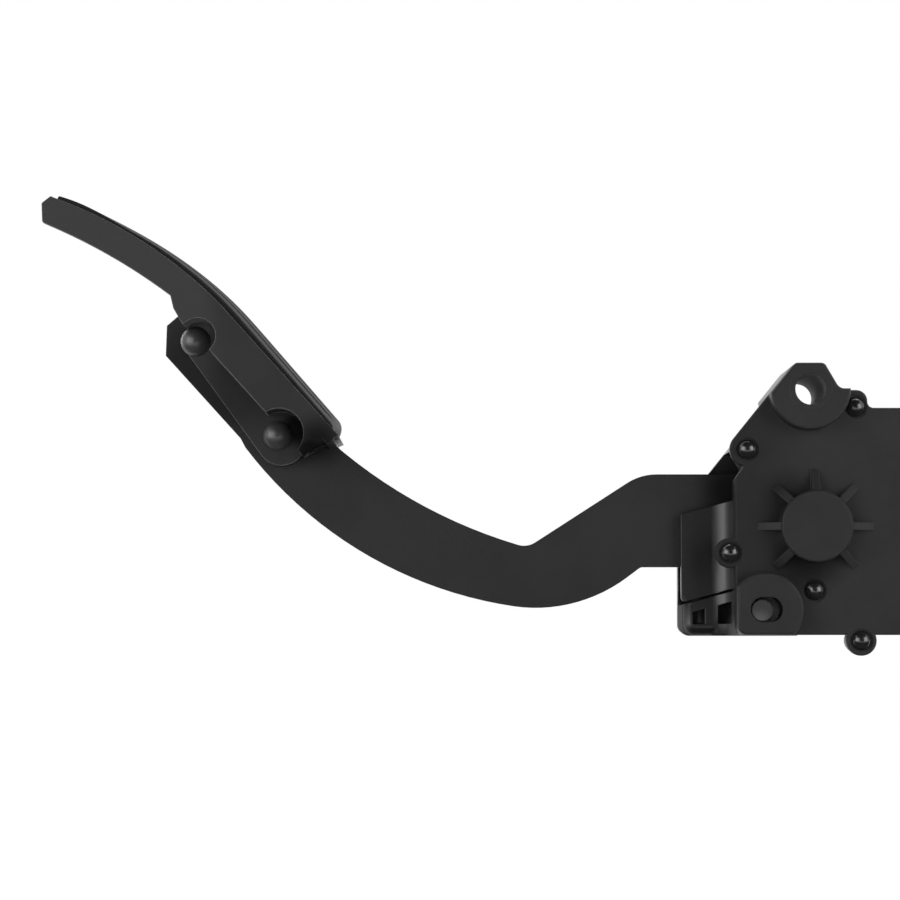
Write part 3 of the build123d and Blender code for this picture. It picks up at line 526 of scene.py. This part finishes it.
def padTread(look):
    # The face line is an arc from the tip and then a straight run; s is the length along it, w the place
    # across it. Height = crown parabola - cosine-squared grooves - quarter rounds at the sides and ends;
    # the crown grows and the sides sink along s by smooth steps.
    tip, flat = np.radians(look["tipAngle"]), np.radians(look["flatAngle"])
    arcLength = (flat - tip) * look["arcRadius"] - look["skipStart"]
    total = arcLength + look["flatLength"] - look["skipEnd"]
    t = np.linspace(0, 1, look["alongSteps"])
    s = total * (t - look["gather"] * np.sin(2 * np.pi * t) / (2 * np.pi))
    angle = tip + (look["skipStart"] + np.minimum(s, arcLength)) / look["arcRadius"]
    outward = np.stack([np.sin(angle), np.cos(angle)], axis=1)
    flatRun = np.array([np.cos(flat), -np.sin(flat)])
    flatOut = np.array([np.sin(flat), np.cos(flat)])
    centre = np.array(look["rivet"]) + flatRun * look["arcEnd"]
    centre = centre + flatOut * (look["faceUp"] - look["arcRadius"])
    line = centre + outward * look["arcRadius"] + np.maximum(s - arcLength, 0)[:, None] * flatRun

    w = look["halfWidth"] * np.sin(np.linspace(-1, 1, look["acrossSteps"]) * np.pi / 2)
    fromEnd = np.minimum(s, total - s)
    share = ease(fromEnd, *look["grooveRunOut"], 0, 1)[:, None]
    edge = ease(s, *look["edgeFrom"], *look["edge"])[:, None]
    crown = ease(s, *look["crownFrom"], *look["crown"])[:, None]
    sideRound = ease(s, *look["edgeFrom"], *look["edgeRound"])[:, None]
    middles = (np.arange(look["grooveCount"]) - (look["grooveCount"] - 1) / 2) * look["groovePitch"]
    reach = np.clip(np.abs(w[:, None] - middles) / look["grooveHalf"], 0, 1)
    grooves = look["grooveDepth"] * (np.cos(reach * np.pi / 2) ** 2).sum(axis=1)
    height = edge + (crown - edge) * (1 - (w / look["halfWidth"]) ** 2) - share * grooves
    height = height - roundOff(look["halfWidth"] - np.abs(w), sideRound)
    firstRound, lastRound = look["endRound"]
    height = height - roundOff(s, firstRound)[:, None] - roundOff(total - s, lastRound)[:, None]

    count, wide = len(s), len(w)
    top = np.zeros((count, wide, 3))
    top[:, :, 0] = line[:, None, 0] + outward[:, None, 0] * height
    top[:, :, 1] = look["middleY"] + w
    top[:, :, 2] = line[:, None, 1] + outward[:, None, 1] * height
    base = np.zeros((count, 2, 3))
    under = line + outward * look["floor"]
    base[:, :, 0] = under[:, None, 0]
    base[:, :, 1] = look["middleY"] + np.array([-1, 1]) * look["halfWidth"]
    base[:, :, 2] = under[:, None, 1]
    points = np.concatenate([top.reshape(-1, 3), base.reshape(-1, 3)]) * mm

    index = np.arange(count * wide).reshape(count, wide)
    low = count * wide + np.arange(count * 2).reshape(count, 2)
    quads = np.concatenate(
        [
            strip(index[:-1, :-1], index[1:, :-1], index[1:, 1:], index[:-1, 1:]),
            strip(low[:-1, 0], low[:-1, 1], low[1:, 1], low[1:, 0]),
            strip(index[:-1, 0], low[:-1, 0], low[1:, 0], index[1:, 0]),
            strip(index[:-1, -1], index[1:, -1], low[1:, 1], low[:-1, 1]),
        ]
    )
    firstEnd = [*index[0].tolist(), int(low[0, 1]), int(low[0, 0])]
    lastEnd = [*index[-1][::-1].tolist(), int(low[-1, 0]), int(low[-1, 1])]
    return newPiece("tread", points, [*quads.tolist(), firstEnd, lastEnd])


tread = padTread(treadLook)
tread.data.materials.append(finishes["treadRubber"])
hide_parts("pad_tread")
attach(tread, "pedal")
print("tread:", len(tread.data.polygons), "faces")

springLook = {  # millimetres; place, outside width and height come from the CAD's own springs
    "coils": {
        "return_spring_outer": {"name": "outerSpring", "wire": 1.7, "turns": 7.0},
        "return_spring_inner": {"name": "innerSpring", "wire": 1.2, "turns": 9.0},
    },
    "closedTurns": 1.0,
    "alongTurn": 48,
    "aroundWire": 14,
    "seat": 6.0,  # this much of each end stays with its seat
}


def springCoil(coil, box, look):
    # Round wire along a helix: its height rises by one wire per turn in the closed end turns and evenly
    # between them; the ends are ground flat by cutting the heights to the box.
    wire = coil["wire"] * mm
    turns, closed = coil["turns"], look["closedTurns"]
    low, high = np.array(box[0]), np.array(box[1])
    bottom, rise = low[2] + wire / 2, high[2] - low[2] - wire
    turn = np.linspace(0, turns, int(turns * look["alongTurn"]) + 1)
    marks = [0, closed, turns - closed, turns]
    height = bottom + np.interp(turn, marks, [0, wire * closed, rise - wire * closed, rise])
    angle = 2 * np.pi * turn
    outward = np.stack([np.cos(angle), np.sin(angle), 0 * angle], axis=1)
    path = (low + high) / 2 + (high[0] - low[0] - wire) / 2 * outward
    path[:, 2] = height
    run = np.gradient(path, axis=0)
    run /= np.linalg.norm(run, axis=1)[:, None]
    over = np.cross(run, outward)
    over /= np.linalg.norm(over, axis=1)[:, None]
    around = np.linspace(0, 2 * np.pi, look["aroundWire"], endpoint=False)
    section = np.cos(around)[:, None] * outward[:, None] + np.sin(around)[:, None] * over[:, None]
    points = path[:, None] + wire / 2 * section
    points[:, :, 2] = np.clip(points[:, :, 2], low[2], high[2])

    index = np.arange(points.shape[0] * points.shape[1]).reshape(points.shape[:2])
    after = np.roll(index, -1, axis=1)
    quads = strip(index[:-1], after[:-1], after[1:], index[1:])
    faces = [*quads.tolist(), index[0][::-1].tolist(), index[-1].tolist()]
    return newPiece(coil["name"], points.reshape(-1, 3), faces)


for springNode, coil in springLook["coils"].items():
    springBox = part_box(springNode)
    spring = springCoil(coil, springBox, springLook)
    spring.data.materials.append(finishes["springWire"])
    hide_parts(springNode)
    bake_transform(spring)
    print("spring:", spring.name, len(spring.data.polygons), "faces")

cameraLook = {
    "place": (-104.3 * mm, -794.0 * mm, -72.34 * mm),
    "pictureWidth": 900,  # pixels
    "focal": 2759,  # pixels
    "depthDrop": 190,  # pixels below the picture's middle, where depth lines meet
    "sensor": 36,  # millimetres
    "nearClip": 10 * mm,
}
camera = bpy.data.objects.new("camera", bpy.data.cameras.new("camera"))
bpy.context.scene.collection.objects.link(camera)
camera.location = cameraLook["place"]
camera.rotation_euler = (math.pi / 2 + math.atan(cameraLook["depthDrop"] / cameraLook["focal"]), 0, 0)
camera.data.lens = cameraLook["sensor"] * cameraLook["focal"] / cameraLook["pictureWidth"]
camera.data.sensor_width = cameraLook["sensor"]
camera.data.clip_start = cameraLook["nearClip"]
bpy.context.scene.camera = camera

studio = {  # lengths in metres
    "ambient": 0.07,
    "floorDrop": 0.13,
    "floorSize": 8.0,
    "floorColour": (0.90, 0.90, 0.90),
    "shadowShare": 0.25,
    "floorGlow": 1.32,  # with the paper's own share, the empty floor comes out white
    "flagColour": (0.015, 0.015, 0.015),  # dark cloth round the camera's end of the room
    "flags": [  # name, middle, half across, half up, shows in gloss alone
        ("flagBehind", (-0.10, -1.90, 0.20), (1.8, 0, 0), (0, 0, 1.3), False),
        ("flagAbove", (-0.10, -0.95, 1.85), (1.8, 0, 0), (0, 0.95, 0.35), False),
        ("flagBelow", (-0.10, -0.15, -0.19), (1.2, 0, 0), (0, 0.20, 0), True),
    ],
    "lamps": [  # name, place, width, height, watts, shows in gloss
        ("leftBox", (-1.10, -0.97, 0.02), 1.2, 1.3, 13.3, True),
        ("rightBox", (0.98, -0.95, 0.10), 0.95, 1.3, 11.0, True),
        ("frontFill", (0.00, -1.35, 0.19), 0.3, 0.3, 1.2, False),
        ("topBox", (0.10, 0.55, 1.25), 1.2, 0.7, 9.0, True),
        ("backLeft", (-1.0, 1.0, 0.35), 0.6, 1.1, 9.0, True),
        ("backRight", (1.0, 1.0, 0.35), 0.6, 1.1, 9.0, True),
    ],
}
middle = (cadBox[0] + cadBox[1]) / 2


def seenDirectly(tree):  # 1 for rays that show the backdrop: from the camera, by gloss or through glass
    path = tree.nodes.new("ShaderNodeLightPath")
    kinds = ("Is Camera Ray", "Is Glossy Ray", "Is Transmission Ray")
    fromCamera, byGloss, throughGlass = [Wire(tree, path.outputs[kind]) for kind in kinds]
    return fade(fromCamera + byGloss + throughGlass, low=0.0, high=1.0)


world = bpy.data.worlds.new("whiteRoom")
bpy.context.scene.world = world
world.use_nodes = True
roomTree = world.node_tree
roomTree.nodes.clear()
shown = seenDirectly(roomTree)
air = makeNode(
    roomTree,
    "Background",
    {},
    {"Color": (1, 1, 1, 1), "Strength": shown + (1 - shown) * studio["ambient"]},
)
roomTree.links.new(air.socket, roomTree.nodes.new("ShaderNodeOutputWorld").inputs["Surface"])

for lampName, place, width, height, watts, glossy in studio["lamps"]:
    lamp = bpy.data.lights.new(lampName, "AREA")
    lamp.shape = "RECTANGLE"
    lamp.size = width
    lamp.size_y = height
    lamp.energy = watts
    lampObject = bpy.data.objects.new(lampName, lamp)
    bpy.context.scene.collection.objects.link(lampObject)
    lampObject.location = place
    lampObject.visible_glossy = glossy
    lampObject.rotation_euler = (middle - Vector(place)).to_track_quat("-Z", "Y").to_euler()


def stageSheet(name, centre, right, up):  # flat sheet from its middle and its two half sides
    corners = [centre + right * x + up * y for x, y in ((-1, -1), (1, -1), (1, 1), (-1, 1))]
    mesh = bpy.data.meshes.new(name)
    mesh.from_pydata(corners, [], [(0, 1, 2, 3)])
    sheet = bpy.data.objects.new(name, mesh)
    bpy.context.scene.collection.objects.link(sheet)
    return sheet


floorZ = cadBox[0].z - studio["floorDrop"]
half = studio["floorSize"] / 2
floor = stageSheet("floor", Vector((middle.x, middle.y, floorZ)), Vector((half, 0, 0)), Vector((0, half, 0)))
floorFinish, floorTree = newFinish("paleFloor")[:2]
paper = makeNode(floorTree, "BsdfDiffuse", {}, {"Color": (*studio["floorColour"], 1)})
glow = makeNode(floorTree, "Emission", {}, {"Color": (1, 1, 1, 1), "Strength": studio["floorGlow"]})
share = seenDirectly(floorTree) * (1 - studio["shadowShare"])
close(floorTree, makeNode(floorTree, "MixShader", {}, {0: share, 1: paper, 2: glow}))
floor.data.materials.append(floorFinish)

flagFinish, flagTree = newFinish("darkCloth")[:2]
close(flagTree, makeNode(flagTree, "BsdfDiffuse", {}, {"Color": (*studio["flagColour"], 1)}))
for flagName, centre, across, up, glossOnly in studio["flags"]:
    flag = stageSheet(flagName, Vector(centre), Vector(across), Vector(up))
    flag.visible_camera = False
    flag.visible_diffuse = not glossOnly
    flag.visible_shadow = not glossOnly
    flag.data.materials.append(flagFinish)
print("studio:", len(studio["lamps"]), "lamps, floor at", round(floorZ, 3))

bpy.context.scene.view_settings.view_transform = "Standard"
